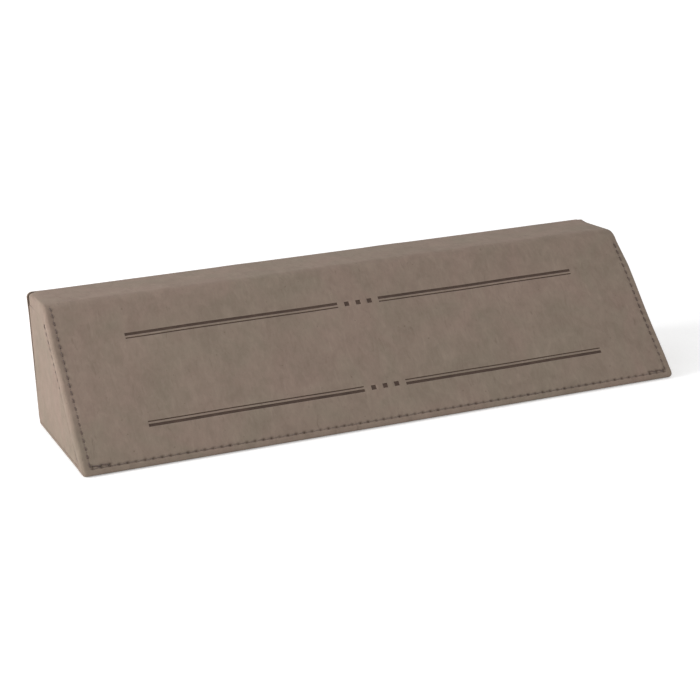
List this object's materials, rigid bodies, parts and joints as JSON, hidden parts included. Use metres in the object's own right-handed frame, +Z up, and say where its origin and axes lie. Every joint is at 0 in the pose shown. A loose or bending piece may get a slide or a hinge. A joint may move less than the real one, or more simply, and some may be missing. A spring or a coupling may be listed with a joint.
{
  "type": "desk name plate",
  "caption": "Long leatherette-covered wedge with a sloping stitched face, a flat top strip and an upright back, which stands on a desk to show a name.",
  "frame": {"origin": "middle of the underside's outline, on the surface that the plate stands on", "axes": "+X along the length, to the right for a reader of the face; +Y from the face to the back; +Z up"},
  "size_m": [0.254, 0.0782, 0.056],
  "materials": {
    "leatherette": "matt nubuck",
    "foam": "soft foam",
    "greyboard": "raw board",
    "card": "raw card",
    "dark_thread": "waxed thread",
    "tonal_thread": "waxed thread"
  },
  "bodies": {
    "root": {"front_cover": "leatherette", "left_end_cover": "leatherette", "right_end_cover": "leatherette", "back_cover": "leatherette", "base_cover": "leatherette", "front_foam": "foam", "front_board": "greyboard", "top_board": "greyboard", "back_board": "greyboard", "base_board": "greyboard", "left_end_board": "greyboard", "right_end_board": "greyboard", "centre_rib": "greyboard", "back_card": "card", "base_card": "card", "left_stitch_row": "dark_thread", "bottom_stitch_row": "dark_thread", "right_stitch_row": "dark_thread", "left_back_tack": "dark_thread", "right_back_tack": "dark_thread", "left_end_stitch_row": "tonal_thread", "right_end_stitch_row": "tonal_thread"}
  },
  "joints": []
}
